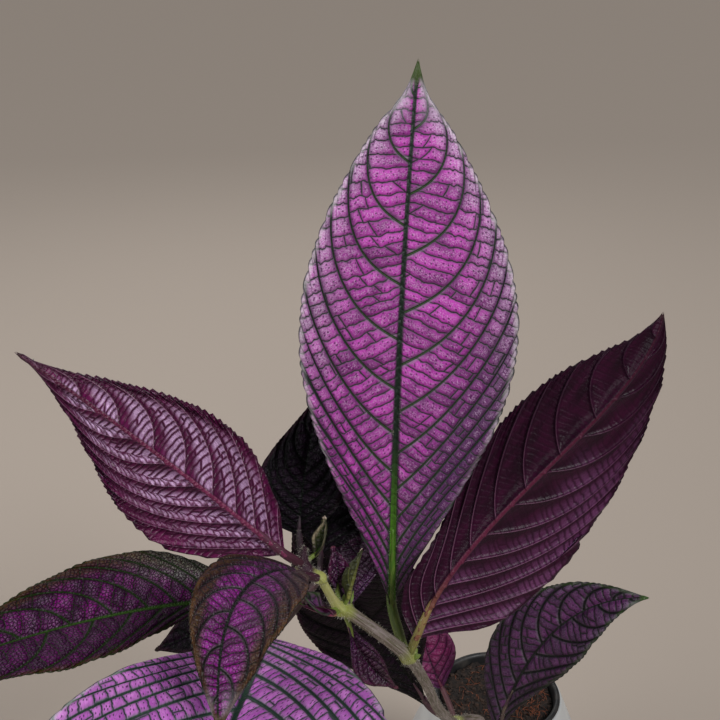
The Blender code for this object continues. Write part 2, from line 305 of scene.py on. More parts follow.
def leaf_grid(spec):
    """Blade surface as a grid of points with the distances that relief and colour need.

    Rows follow the side veins. u and p are places across the blade, with and without sign. s is where a row
    leaves the midrib and t where its point lies, both as shares of the length."""
    length = np.linalg.norm(np.subtract(spec.path[-1], spec.path[0]))
    total, n = spec.veins, spec.columns
    rows = vein_rows(total, length, spec.step)
    u = np.arange(-n, n + 1)[None, :] / n
    p = np.abs(u) ** COLUMN_POWER
    right = u > 0
    half, widest, lobe = (np.where(right, pair[1], pair[0]) for pair in (spec.half, spec.widest, spec.lobe))
    skipped = (FIRST_VEIN / total) ** VEIN_POWER
    share = ((rows / total) ** VEIN_POWER - skipped) / (1 - skipped)
    s = (BASE + (1 - 2 * BASE) * share)[:, None]
    rest = 1 - s
    climb = (CLIMB[0] * p + CLIMB[1] * p**3) * np.maximum(half, 8) / length * (1 - s**3) * (1 - rest**12)
    t = 1 - rest * np.exp(-climb / rest)
    outline = half * np.clip(np.sin(np.pi * np.minimum(1, t**widest)), 0, 1) ** spec.taper
    outline = outline + lobe * hump(t - LOBE_AT, LOBE_SPREAD)
    least = (0.9 + 0.4 * (1 - t)) * np.minimum(1, (1 - t) / 0.03)
    width = np.maximum(least, outline) * (1 - spec.drawn * smoothstep(t, *DRAWN_PART))
    point, ahead = bezier(spec.path, t)
    first, last = np.broadcast_to(spec.face, (2, 3))
    face = first + (last - first) * t[..., None]
    face = unit(face - (face * ahead).sum(-1, keepdims=True) * ahead)
    across = np.cross(ahead, face)
    fold = np.radians(spec.fold) * np.minimum(1, 4 * (1 - t))

    def place(reach):
        out = width * p + reach * p**TOOTH_POWER
        rise = out * np.sin(fold) + spec.curl * out * out / half
        return point + across * (np.sign(u) * out * np.cos(fold))[..., None] + face * rise[..., None]

    # Teeth follow the length of each margin.
    bare = place(0)
    reach = np.zeros_like(t)
    for column, sides in ((0, slice(0, n)), (2 * n, slice(n + 1, None))):
        cut = teeth(spec, column, run(bare[:, column])) * smoothstep(width[:, column], *TOOTH_FADE)
        for which, middle, spread, depth in spec.notches:
            if (which > 0) == (column > 0):
                cut -= depth * hump(t[:, column] - middle, spread)
        reach[:, sides] = cut[:, None]
    points = place(reach)

    # Distance across the band between two side veins, for one vein number.
    by_column = np.zeros_like(points)
    for sides in (slice(0, n + 1), slice(n, None)):
        by_column[:, sides] = np.gradient(points[:, sides], axis=1)
    cross = np.linalg.norm(np.cross(np.gradient(points, rows, axis=0), by_column), axis=-1)
    band_width = cross / np.maximum(np.linalg.norm(by_column, axis=-1), 1e-6)
    normal = unit(np.cross(np.gradient(bare, axis=1), np.gradient(bare, rows, axis=0)))
    if (normal * face).sum() < 0:
        normal = -normal
    steps = np.linalg.norm(np.diff(points, axis=1), axis=-1)
    x = np.zeros_like(t)
    x[:, n + 1 :] = np.cumsum(steps[:, n:], axis=1)
    x[:, :n] = np.cumsum(steps[:, :n][:, ::-1], axis=1)[:, ::-1]
    number = rows[:, None] + 0.5 * right
    part = number - np.floor(number + 1e-9)
    lateral = (0.5 - np.abs(part - 0.5)) * band_width
    out, edge = width * p, width * (1 - p)
    swell = SWELL * spec.relief * np.minimum(band_width, SWELL_UP_TO) * (1 - (2 * part - 1) ** 2)
    swell *= smoothstep(out, 0.3, 0.16 * half) * smoothstep(edge, 0, 0.1 * half)
    wave = np.sin(2 * np.pi * WAVE_RATE * number + 1.3 * u) * smoothstep(out, 3, 12)
    groove = SIDE_GROOVE[0] * hump(lateral, SIDE_GROOVE[1]) + MID_GROOVE[0] * hump(out, MID_GROOVE[1])
    swell += spec.wave * p**3 * wave - groove * spec.relief
    rib_height, rib_width = spec.keel
    thick = SHEET + rib_height * hump(out, rib_width) * (1 - KEEL_LOSS * s)
    thick += spec.rib * hump(lateral, RIB_HALF) * smoothstep(edge, 0.5, 5)
    thick *= np.minimum(1, 0.35 + edge / 1.5)
    return Table(
        points=points.reshape(-1, 3), normal=normal.reshape(-1, 3), swell=swell.reshape(-1, 1),
        thick=thick.reshape(-1, 1), rows=rows, x=x, t=t, p=np.broadcast_to(p, t.shape), out=out, edge=edge,
        band_width=band_width, rung=t * length + spec.tilt * out * np.minimum(1, 1.5 * (1 - t)),
    )


class Body:
    """Collects points, faces, slots and corner fields for one object.

    The fields of a leaf are net: place along a side vein, place across the band, number of the band;
    veins: distance to the next side vein, to the midrib and to the margin; and place: shares of length and
    width, then the place along the midrib that cross veins keep."""

    def __init__(self):
        self.points, self.faces, self.slots = [], [], []
        self.fields = {"net": [], "veins": [], "place": []}
        self.normals = []
        self.count = 0

    def points_of(self, points, normal=0):
        """Add points and return the number of the first. The normal is for relief."""
        points = np.asarray(points, float).reshape(-1, 3)
        first = self.count
        self.points.append(points)
        self.normals.append(np.zeros_like(points) + normal)
        self.count += len(points)
        return first

    def faces_of(self, faces, slot, **fields):
        """Add faces, an array of point numbers. Each field has three values for each corner."""
        faces = np.asarray(faces)
        self.faces += faces.tolist()
        self.slots += [slot] * len(faces)
        for name, collected in self.fields.items():
            values = fields.get(name, np.zeros((*faces.shape, 3)))
            collected.append(np.asarray(values, float).reshape(-1, 3))

    def build(self, name, materials, flat=()):
        mesh = bpy.data.meshes.new(name)
        mesh.from_pydata((np.concatenate(self.points) * MM).tolist(), [], self.faces)
        mesh.polygons.foreach_set("material_index", self.slots)
        mesh.polygons.foreach_set("use_smooth", [slot not in flat for slot in self.slots])
        for material in materials:
            mesh.materials.append(material)
        fields = [(field, "CORNER", values) for field, values in self.fields.items()]
        for field, domain, values in [*fields, ("lift", "POINT", self.normals)]:
            made = mesh.attributes.new(field, "FLOAT_VECTOR", domain)
            made.data.foreach_set("vector", np.concatenate(values).astype(np.float32).ravel())
        mesh.update()
        return add_object(name, mesh)


def add_object(name, data):
    obj = bpy.data.objects.new(name, data)
    bpy.context.scene.collection.objects.link(obj)
    return obj


def finish(obj, node, replaces=True):
    """Hand an object to the frame in place of its node."""
    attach(obj, ROOT)
    if replaces:
        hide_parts(node)


def apply_modifiers(obj):
    """Give an object the mesh that its modifiers make."""
    bpy.context.view_layer.update()
    mesh = bpy.data.meshes.new_from_object(obj.evaluated_get(bpy.context.evaluated_depsgraph_get()))
    obj.modifiers.clear()
    old = obj.data
    obj.data = mesh
    bpy.data.meshes.remove(old)


def quads(rows, columns, closed=False):
    """Faces of a grid of points, wrapped round if closed."""
    r, c = np.meshgrid(np.arange(rows - 1), np.arange(columns if closed else columns - 1), indexing="ij")
    r, c = r.ravel() * columns, c.ravel()
    right = (c + 1) % columns
    return joined(r + c, r + right, r + columns + right, r + columns + c)


def add_blade(body, spec, slots):
    """Both faces and the rim of a leaf blade."""
    grid = leaf_grid(spec)
    rows, columns = grid.t.shape
    faces = quads(rows, columns)
    left = faces[:, :1] % columns < spec.columns
    number = np.repeat(grid.rows, columns)[faces] + np.where(left, 0.0, 0.5)
    band = np.floor(number.mean(axis=1, keepdims=True) + 1e-9)
    part = number - band
    key = band + np.where(left, 0, RIGHT_BANDS) + np.zeros(4)
    names = ("x", "t", "p", "out", "edge", "rung", "band_width")
    x, t, p, out, edge, rung, band_width = (getattr(grid, name).ravel()[faces] for name in names)
    fields = {
        "net": joined(x, (part - 0.5) * band_width, key),
        "veins": joined((0.5 - np.abs(part - 0.5)) * band_width, out, edge),
        "place": joined(t, p * np.where(left, -1.0, 1.0), rung),
    }
    top, normal = grid.points, grid.normal
    low = top - normal * grid.thick
    first = faces[len(faces) // 2]
    facing = np.cross(top[first[1]] - top[first[0]], top[first[3]] - top[first[0]]) @ normal[first[0]]
    step = 1 if facing > 0 else -1
    count = rows * columns
    numbers = np.arange(count).reshape(rows, columns)
    ring = np.concatenate([numbers[0], numbers[1:, -1], numbers[-1, -2::-1], numbers[-2:0:-1, 0]])
    after = np.roll(ring, -1)
    rim = joined(ring, ring + count, after + count, after)[:, ::step]
    # The rim counts as margin, away from all veins.
    nothing = np.zeros(rim.shape)
    points = np.concatenate([top, low]) + np.tile(normal * grid.swell, (2, 1))
    start = body.points_of(points, np.tile(normal, (2, 1)))
    for way, slot, shift in ((step, slots[0], 0), (-step, slots[1], count)):
        sided = {name: value[:, ::way] for name, value in fields.items()}
        body.faces_of(faces[:, ::way] + start + shift, slot, **sided)
    body.faces_of(
        rim + start, slots[spec.rim_slot], veins=joined(nothing + 3, nothing + 9, nothing),
        place=joined(grid.t.ravel()[rim % count], nothing + 1, nothing),
    )


def relief(obj, look, strength):
    """Raise the blade along its normals, with the same net that its colour uses."""
    tree = bpy.data.node_groups.new("relief", "GeometryNodeTree")
    for way in ("INPUT", "OUTPUT"):
        tree.interface.new_socket("Geometry", in_out=way, socket_type="NodeSocketGeometry")
    graph = Graph(tree)
    large, small, _ = net_of(graph, look)
    lateral, out, edge = graph.read("veins")
    free = lateral.smooth(0, 1.1) * out.smooth(0.4, 1.8) * edge.smooth(0, 1.4)
    cells = large.dome(look.cell * 0.4) * (CELL_RISE * strength * look.rise * min(1, look.cell / 4))
    fine = small.dome(look.fine * 0.4) * (FINE_RISE * strength)
    lift = graph.vector(*graph.read("lift")).scaled((cells + fine) * free * MM)
    move = {"Geometry": graph.make("NodeGroupInput", {}), "Offset": lift}
    graph.feed(tree.nodes.new("NodeGroupOutput"), {0: graph.make("GeometryNodeSetPosition", move)})
    modifier = obj.modifiers.new("relief", "NODES")
    modifier.node_group = tree
    apply_modifiers(obj)
    bpy.data.node_groups.remove(tree)


def spline(points, count):
    """Smooth path through points given as (x, y, z, radius)."""
    points = np.array(points, float)
    points = np.vstack([2 * points[0] - points[1], points, 2 * points[-1] - points[-2]])
    t = np.arange(count)[:, None] / count
    made = []
    for a, b, c, d in zip(points, points[1:], points[2:], points[3:]):
        square = (2 * a - 5 * b + 4 * c - d) * t**2
        cube = (3 * b - a - 3 * c + d) * t**3
        made.append(0.5 * (2 * b + (c - a) * t + square + cube))
    made = np.vstack([*made, points[-2]])
    made[:, 3] = np.maximum(made[:, 3], THINNEST)
    return made


def sweep(path, sides, ribs, depth):
    """Points of a tube along a path, with lengthwise ribs."""
    centre, radius = path[:, :3], path[:, 3]
    ahead = unit(np.gradient(centre, axis=0))
    side = np.cross(ahead[0], (0.31, 0.2, 0.93))
    turn = turns(sides)
    rings = []
    for i in range(len(centre)):
        side = unit(side - (side @ ahead[i]) * ahead[i])
        other = np.cross(ahead[i], side)
        size = radius[i] * (1 + depth * np.cos(ribs * turn))
        rings.append(centre[i] + np.outer(size * np.cos(turn), side) + np.outer(size * np.sin(turn), other))
    return np.array(rings)


def add_tube(body, path, sides, slot, ribs=0, depth=0.0):
    """A closed tube. place holds the share of its length, the turn and the length in millimetres."""
    rings = sweep(path, sides, ribs, depth)
    rows = len(rings)
    faces = quads(rows, sides, closed=True)
    arc = run(path[:, :3])
    row = faces // sides
    turn = (faces % sides) / sides
    turn = np.where((turn == 0) & (faces[:, [0]] % sides == sides - 1), 1.0, turn)
    first = body.points_of(rings)
    body.faces_of(faces + first, slot, place=joined(row / (rows - 1), turn, arc[row]))
    for ring, order in ((0, -1), (rows - 1, 1)):
        cap = (ring * sides + np.arange(sides))[::order]
        fan = joined(np.full(sides - 2, cap[0]), cap[1:-1], cap[2:])
        place = np.zeros((*fan.shape, 3)) + (ring / (rows - 1), 0, arc[ring])
        body.faces_of(fan + first, slot, place=place)
    return rings


def add_hairs(body, roots, directions, length, radius, droop=0.3):
    """Fine three-sided hairs that taper to a point."""
    points, faces = [], []
    for root, direction in zip(roots, directions):
        direction = unit(unit(direction) + HAIR_STRAY * np.array([draw.uniform(-1, 1) for _ in range(3)]))
        side = unit(np.cross(direction, (0.3, 0.5, 0.8)))
        other = np.cross(direction, side)
        size = length * draw.uniform(0.6, 1.25)
        first = len(points)
        for along, thick in ((-0.25, radius), (size * 0.55, 0.6 * radius)):
            for angle in (0, 2 * math.pi / 3, 4 * math.pi / 3):
                turned = math.cos(angle) * side + math.sin(angle) * other
                points.append(root + direction * along + thick * turned)
        points.append(root + direction * size - np.array([0, 0, droop * size * 0.4]))
        for k, j in ((0, 1), (1, 2), (2, 0)):
            faces += [(first + k, first + j, first + 3 + j), (first + k, first + 3 + j, first + 3 + k)]
            faces.append((first + 3 + k, first + 3 + j, first + 6))
        faces.append((first + 2, first + 1, first))
    start = body.points_of(points)
    body.faces_of(np.array(faces) + start, 0)


def new_material(name, skin, bump=0.0, fixed=None):
    """A Principled material. skin gives colour, roughness and height in millimetres for a graph."""
    material = bpy.data.materials.new(name)
    material.use_nodes = True
    graph = Graph(material.node_tree)
    shader = material.node_tree.nodes["Principled BSDF"]
    colour, rough, height = skin(graph)
    graph.feed(shader, {"Base Color": colour, "Roughness": rough, **(fixed or {})})
    if bump:
        inputs = {"Strength": bump, "Distance": MM, "Height": height}
        graph.feed(shader, {"Normal": graph.make("ShaderNodeBump", inputs)})
    return material


def noises(graph, look, x, y, band):
    """Clouds, a broad drift over the whole leaf and fine grain."""
    t, u, _ = graph.read("place")
    cloud = graph.vector(x / CLOUD, y / CLOUD, band).noise(1.0, 3)
    broad = graph.vector(t * 3, u * 1.6, look.seed).noise(1.0, 2)
    return cloud, broad, graph.vector(x, y, band).noise(GRAIN, 3)


def upper_side(graph, look):
    """Cells of the net between dark veins."""
    large, small, tone = net_of(graph, look)
    lateral, out, edge = graph.read("veins")
    t, u, rung = graph.read("place")
    band = graph.read("net")[2]
    cloud, broad, grain = noises(graph, look, out, rung, band)
    p, left, near = abs(u), 1 - t, large.least(lateral)
    vein, halo, width = look.vein, look.halo, look.line
    # Painted shade, darker towards the base and the margins, and on one half for some looks.
    low = (left + p * 0.35 + u * look.dark_u).smooth(0.7, 1.2)
    # Painted silver sheen towards the margins and the tip, on one half for some looks, broken into grains.
    silver = p + broad * 0.7 + u * look.silver_u + t.smooth(0.75, 0.98) * 0.4
    silver = silver.smooth(look.silver_from, look.silver_from + 0.6)
    silver = silver * (0.35 + grain.smooth(0.35, 0.6) * 0.65)
    bronze = (p + broad * 0.5 + u * look.bronze_u).smooth(look.bronze_from, look.bronze_from + 0.3)
    speck = graph.vector(out / look.speck, rung / look.speck + band * SPECK_SHIFT)
    chance, _, _ = speck.voronoi("F1", 0.9, output="Color").split()
    dots = speck.voronoi("F1", 0.9).line(0.11, 0.25) * chance.smooth(0.1, 0.3)
    thick = (1 - p * 0.45) * look.rib
    # The midrib is bright at the base and dark towards the tip.
    midrib = look.midrib * 0.25 + left * left * (look.midrib * 0.75)
    fade = t.smooth(look.green_to * 0.45, look.green_to)
    stripe = graph.op("SINE", out * 7).smooth(0, 1) * (1 - fade) * 0.4
    rib = layered(fade.blend(look.green, vein), [(look.stripe, stripe)])
    tip = (t + cloud * 0.02).smooth(look.tip_from, look.tip_from + 0.025)
    pale = lateral.line(thick, thick * 3) * p.line(0.1, 0.75) * cloud.smooth(0.3, 0.6)
    rim = edge.line(0.5, 2.0) * cloud.smooth(0.25, 0.6) * t.smooth(0.1, look.rim_to)
    colour = layered((cloud + tone * 0.25).smooth(0.4, 0.85).blend(look.deep, look.fill), [
        (look.dark, low * look.base_dark),
        # Painted highlight: each cell is paler in the middle than beside its veins. The painted silver sheen
        # lies in grains.
        (look.shine, near.smooth(0.3, look.cell * 0.45) * grain.smooth(0.4, 0.7) * look.lit),
        (look.shine, silver * t.smooth(0.3, 0.7) * look.silver),
        (look.brown, bronze * look.bronze),
        (look.dark, lateral.line(0.3, look.cell * 0.5) * look.shadow),
        # One half may be darker, and its other half has a painted silver-green glint near the base.
        (look.dark, u.line(-0.15, 0.1) * look.dark_side),
        (PAINTED_GLINT, t.line(0.15, 0.45) * u.smooth(0.3, 0.6) * grain.smooth(0.35, 0.6) * look.frost),
        # Dark specks, a few in each cell, and the fine net.
        (look.dots, dots * look.dot_share),
        (halo, small.line(0.0, look.fine * 0.22) * look.fine_line),
        # Cross veins, then side veins with a pale edge near the midrib.
        (halo, large.line(width * 0.5, width * 2.6) * 0.6),
        (vein, large.line(width * 0.35, width) * edge.smooth(0.1, 0.8) * 0.95),
        (look.pale, pale * look.pale_edge),
        (halo, lateral.line(0, thick * 2.4) * 0.55),
        (vein, lateral.line(thick * 0.6, thick * 1.15)),
        (look.green, lateral.line(0, thick * 0.5) * (1 - p) * look.core),
        (vein, out.line(midrib, midrib * 2.1) * 0.9),
        (rib, out.line(midrib * 0.75, midrib)),
        # Margin and tip.
        (look.rim, rim * look.rim_share),
        (vein, edge.line(0.1, 0.45) * t.smooth(0.05, 0.13) * 0.85),
        (look.pale, t.smooth(0.86, 0.93) * out.smooth(0.8, 1.8) * look.pale_edge),
        (look.tip, tip),
    ])
    height = near.dome(look.cell * 0.3) * look.pillow + small.dome(look.fine * 0.4) * look.bead
    return colour, look.rough + grain.smooth(0.3, 0.8) * 0.14, height + grain * 0.12


def under_side(graph, look):
    """Plum with a painted satin highlight, raised veins, wrinkles across the bands with painted shade in
    their creases, and a row of round cells beside each vein.
    """
    large, _, _ = net_of(graph, look)
    lateral, out, edge = graph.read("veins")
    t, u, _ = graph.read("place")
    x, y, band = graph.read("net")
    cloud, broad, grain = noises(graph, look, x, y, band)
    line, size, ridges = look.under_line, look.bead_size, look.ridge_share
    # 1 on the tip side of a side vein, 0 just before the next one.
    across = y / (lateral + abs(y) + 0.01)
    start = look.satin_from + u * look.satin_u
    bead = graph.vector(x / size, (lateral - 0.3) / size).voronoi("DISTANCE_TO_EDGE", 0.7) * size
    beside = lateral.line(size, size * 1.25) * across.line(-0.3, 0.3) * look.beads
    beside = beside * (0.2 + u.smooth(-0.1, 0.2) * 0.8)
    cells = bead.smooth(0.1, size * 0.32) * beside + large.smooth(0.1, look.cell * 0.32) * (1 - beside)
    # Painted satin highlight: lilac over the bands on one side of each side vein, stronger on the cells'
    # ridges and away from the margin.
    painted_highlight = (t * look.glow_t + u * look.glow_u + broad).smooth(0.3, 0.8) * across.line(start, start + 0.8)
    painted_highlight = painted_highlight * ((1 - ridges) + cells * ridges) * (0.55 + grain.smooth(0.35, 0.62) * 0.45)
    thick = (1 - abs(u) * 0.5) * look.under_thick
    midrib = look.under_midrib + t * (-0.7 * look.under_midrib)
    rib = layered(t.smooth(look.base_to * 0.2, look.base_to).blend(look.under_base, look.under_rib), [
        (line, t.smooth(0.3, 0.9) * 0.7),
        (line, out.smooth(midrib * 0.4, midrib) * 0.5),
    ])
    colour = layered(cloud.smooth(0.3, 0.7).blend(look.under_deep, look.under), [
        (look.lilac, painted_highlight * edge.smooth(look.dark_edge * 0.3, look.dark_edge) * look.satin),
        # Painted shade in the creases of the wrinkles.
        (line, large.line(0.04, look.cell * 0.16) * (1 - beside) * look.crease),
        (line, bead.line(0.04, 0.26) * beside * 0.6),
        # Painted shade on one side of each side vein.
        (line, lateral.line(0.5, 1.3) * across.smooth(0, 0.3) * 0.8),
        (look.under_vein, lateral.line(thick * 0.4, thick) * look.vein_share * (1 - t * look.vein_fade)),
        (line, out.line(midrib, midrib * 2.2) * 0.7),
        (rib, out.line(midrib * 0.8, midrib * 1.15)),
        (line, edge.line(0.3, 1.0) * 0.75),
        (look.under_tip, t.smooth(0.965, 0.985)),
    ])
    height = cells * look.wrinkle + grain * 0.12 + lateral.line(0.05, 0.5) * 0.35
    return colour, look.under_rough + grain.smooth(0.3, 0.8) * 0.14, height


def leaf_material(name, look, side):
    """side is upper_side or under_side."""
    fixed = {
        "Specular IOR Level": look.gloss, "Sheen Weight": look.sheen, "Sheen Roughness": 0.45,
        "Sheen Tint": srgb((235, 205, 235)),
    }
    return new_material(name, lambda graph: side(graph, look), 0.9, fixed)


def tube_skin(graph, scale):
    """Share of a tube's length, the length, streaks along the tube and spots on it."""
    share, turn, arc = graph.read("place")
    x, y = (graph.op(way, turn * (2 * math.pi)) for way in ("COSINE", "SINE"))
    streak = graph.vector(x * 2.4, y * 2.4, arc * (0.1 * scale)).noise(1.6, 3)
    return share, arc, streak, graph.vector(x, y, arc * scale).noise(2.5, 3)


def stalk_material(name, near, far, ridge):
    """Ribbed tissue whose colour changes along its length."""

    def skin(graph):
        share, _, streak, spots = tube_skin(graph, 1.3)
        colour = layered(share.smooth(0.1, 0.9).blend(near, far), [
            (ridge, streak.smooth(0.45, 0.65) * 0.6),
            ((70, 48, 45), spots.smooth(0.55, 0.75) * 0.3),
        ])
        return colour, 0.5 + spots * 0.15, streak * 0.25 + spots * 0.08

    return new_material(name, skin, 0.8)


# How leaves look. Colours go from 0 to 255. Lengths (cell, fine, line, rib, midrib, speck, bead_size,
# dark_edge, under_thick, under_midrib) and heights (pillow, bead, wrinkle) are in millimetres. Most other
# values are shares. LOOKS says how each kind of leaf differs from LOOK.
# Colour of a painted silver-green glint near the base of some leaves.
PAINTED_GLINT = (150, 162, 142)
LOOK = dict(
    fill=(186, 68, 184), deep=(148, 38, 146), dark=(58, 12, 68), base_dark=0.85, shine=(226, 198, 228),
    silver=0.55, silver_from=0.85, bronze=0.0, bronze_from=0.85, bronze_u=0.0, brown=(96, 66, 38),
    halo=(98, 76, 100), vein=(20, 36, 26), green=(70, 118, 24), stripe=(30, 62, 12), green_to=0.36,
    pale=(168, 160, 170), pale_edge=0.4, rim=(206, 200, 202), rim_share=0.6, tip=(58, 74, 30),
    tip_from=0.95, dots=(74, 20, 74), dot_share=0.85, cell=4.3, fine=1.4, forks=0.42, line=0.24,
    fine_line=0.15, rib=0.5, midrib=1.7, core=0.0, speck=1.7, rough=0.42, seed=1.0, gloss=0.3, sheen=0.05,
    bead=0.07, pillow=0.3, dark_side=0.0, frost=0.0, rim_to=0.6, shadow=0.2, rise=1.0, ridge_share=1.0,
    satin_u=0.0, silver_u=0.0, dark_u=0.0, lit=0.2, under=(96, 22, 74), under_deep=(66, 12, 50),
    lilac=(180, 128, 174), satin=0.6, satin_from=-0.1, glow_t=0.3, glow_u=0.0, dark_edge=3.0, wrinkle=0.3,
    crease=0.7, bead_size=1.8, beads=0.8, under_line=(48, 6, 34), under_vein=(150, 92, 128),
    under_thick=0.32, vein_share=0.7, vein_fade=0.3, under_midrib=0.8, under_rib=(138, 62, 92),
    under_base=(150, 110, 84), base_to=0.3, under_tip=(52, 24, 30), under_rough=0.36,
)
LOOKS = {
    "bright": dict(
        core=0.5, dark_u=0.3, fill=(192, 60, 178), deep=(124, 24, 116), silver=0.7, lit=0.45, shadow=0.45,
        line=0.3,
    ),
    "violet": dict(
        fill=(208, 120, 210), deep=(172, 76, 178), silver=0.8, silver_from=0.72, vein=(18, 44, 32),
        halo=(92, 96, 104), cell=5.2, fine=1.9, line=0.42, rib=0.9, midrib=1.3, core=0.5, forks=0.25,
        green=(84, 106, 94), speck=1.4, dots=(44, 18, 54), dot_share=1.0, base_dark=0.0, silver_u=-0.3,
        rim=(190, 204, 192), rim_share=0.8, seed=4.0,
    ),
    "bronze": dict(
        fill=(136, 12, 132), deep=(70, 4, 66), shadow=0.85, dark=(28, 6, 26), bronze=0.95, bronze_from=0.72,
        brown=(62, 44, 12), silver=0.08, vein=(14, 22, 12), cell=2.4, fine=1.2, line=0.16, gloss=0.22,
        rib=0.34, midrib=0.9, green=(18, 30, 18), stripe=(60, 80, 70), halo=(46, 28, 30), speck=1.0,
        dots=(44, 14, 40), seed=7.0, rough=0.3, green_to=0.1, rim=(92, 62, 26), tip=(70, 60, 34),
        fine_line=0.6, pale_edge=0.25, bead=0.22,
    ),
    "side": dict(
        fill=(106, 4, 98), deep=(46, 2, 44), bronze=0.95, bronze_from=1.1, bronze_u=0.36, gloss=0.12,
        brown=(62, 42, 16), silver=0.0, vein=(26, 42, 14), halo=(26, 12, 20), green=(48, 74, 26),
        shadow=0.5, green_to=0.9, cell=5.0, fine=1.15, line=0.14, sheen=0.0, midrib=0.85, speck=1.0,
        dots=(48, 10, 46), base_dark=0.4, seed=9.0, rough=0.3, rim=(66, 46, 16), fine_line=1.0,
        pale_edge=0.1, bead=0.22, pillow=0.15, dark=(44, 4, 42), dark_side=0.55, frost=0.5,
    ),
    "muted": dict(
        fill=(98, 42, 96), deep=(58, 20, 60), silver=0.3, shadow=0.5, dark=(34, 12, 36),
        shine=(160, 140, 172), vein=(12, 18, 12), halo=(40, 30, 42), cell=3.8, line=0.3, rib=0.6,
        midrib=0.6, dots=(46, 22, 52), rim=(60, 90, 36), green_to=0.05, tip=(58, 84, 36), seed=12.0,
        pale_edge=0.2,
    ),
    # Near-black colours that paint the shade these leaves stand in.
    "shade": dict(
        fill=(24, 5, 24), deep=(9, 3, 10), shadow=0.6, dark=(8, 4, 8), silver=0.0, shine=(70, 50, 74),
        vein=(8, 12, 8), halo=(12, 6, 12), cell=3.0, fine=1.2, line=0.2, rib=0.34, midrib=0.5,
        rim=(50, 22, 36), seed=15.0, rough=0.36, green_to=0.05, dots=(14, 6, 14), pale_edge=0.0,
        pale=(40, 26, 40), tip=(40, 30, 26), bead=0.16, sheen=0.0, gloss=0.1, under=(50, 14, 40),
        under_deep=(30, 8, 24), satin=0.3,
    ),
    "plum": dict(
        fill=(124, 20, 84), deep=(90, 8, 58), silver=0.1, vein=(52, 8, 40), halo=(90, 14, 66), cell=3.6,
        line=0.14, rib=0.3, midrib=0.5, rim=(140, 60, 110), seed=18.0, green_to=0.05, dots=(70, 10, 52),
        pale_edge=0.1, tip=(90, 40, 60),
    ),
    "young_plum": dict(
        fill=(62, 4, 52), deep=(34, 2, 30), silver=0.0, vein=(26, 3, 22), halo=(46, 6, 38), cell=1.8,
        fine=0.9, line=0.12, rib=0.2, midrib=0.3, rim=(84, 24, 60), seed=19.0, green_to=0.05,
        dots=(44, 8, 36), pale_edge=0.05, tip=(90, 40, 60), rough=0.22, gloss=0.35, sheen=0.0,
        under=(60, 6, 44), under_deep=(36, 3, 28), lilac=(110, 60, 96),
    ),
    "left_under": dict(
        seed=21.0, cell=2.0, fine=1.0, forks=0.5, under=(100, 14, 72), under_deep=(74, 6, 52),
        lilac=(208, 172, 212), satin=1.0, glow_t=0.4, glow_u=-0.2, dark_edge=6.0, wrinkle=0.36,
        satin_from=-0.35, satin_u=-0.4, under_base=(116, 48, 78), gloss=0.4, rise=0.7, crease=0.85,
        under_line=(54, 2, 36), under_thick=0.24, under_vein=(156, 112, 140), under_midrib=0.62,
        under_rib=(112, 40, 74), under_rough=0.3,
    ),
    "right_under": dict(
        seed=24.0, cell=2.5, fine=1.3, forks=0.3, under=(52, 5, 37), under_deep=(30, 2, 21), gloss=0.2,
        satin=0.8, lilac=(112, 62, 104), glow_t=-0.6, glow_u=-0.45, dark_edge=2.0, wrinkle=0.13,
        ridge_share=0.55, rise=0.4, crease=0.5, under_line=(34, 4, 26), beads=0.0, satin_from=-0.3,
        under_rib=(88, 30, 54), under_midrib=0.75, under_base=(114, 74, 54), under_vein=(130, 84, 112),
        vein_fade=1.2, base_to=0.22, under_rough=0.34,
    ),
    "young_green": dict(
        fill=(52, 62, 12), deep=(26, 34, 8), dark=(30, 34, 10), silver=0.1, vein=(30, 44, 12),
        halo=(40, 48, 12), cell=2.0, fine=0.9, line=0.1, rib=0.18, midrib=0.3, rim=(190, 170, 140),
        tip=(200, 180, 160), seed=30.0, dots=(60, 60, 20), pale=(170, 170, 120), under=(58, 62, 20),
        under_deep=(36, 40, 12), lilac=(110, 110, 62), under_line=(34, 38, 12), under_vein=(96, 98, 44),
        under_rib=(96, 98, 44), under_base=(130, 132, 66),
    ),
}


def full_look(name):
    return Table(**{**LOOK, **LOOKS[name]})


JOINTS = {
    "low": (-25, -47, 129),
    "pair": (-52, -128, 233),
    "bud": (-76, -133, 258),
    "upper": (-83, -136, 273),
    "top": (-89, -132, 276),
}


def leaf(joint, path, face, half, **more):
    """path: Bezier handles of the midrib. face: where the upper side looks, all along or at base and tip.

    half, widest and lobe are for the left and the right half. tooth: length, depth and kind.
    keel: height and half width. step and columns set the mesh."""
    usual = dict(
        widest=(1, 1), taper=1.28, look="bright", lobe=(0, 0), fold=14, curl=0, veins=10, petiole=1.5,
        step=0.85, columns=50, tooth=(3.1, 0.7, "saw"), wave=0.5, keel=(1.2, 1.3), rib=0.3, relief=1.0,
        notches=(), tilt=0.5, rim_slot=0, drawn=0,
    )
    return Table(joint=joint, path=path, face=face, half=half, **{**usual, **more})


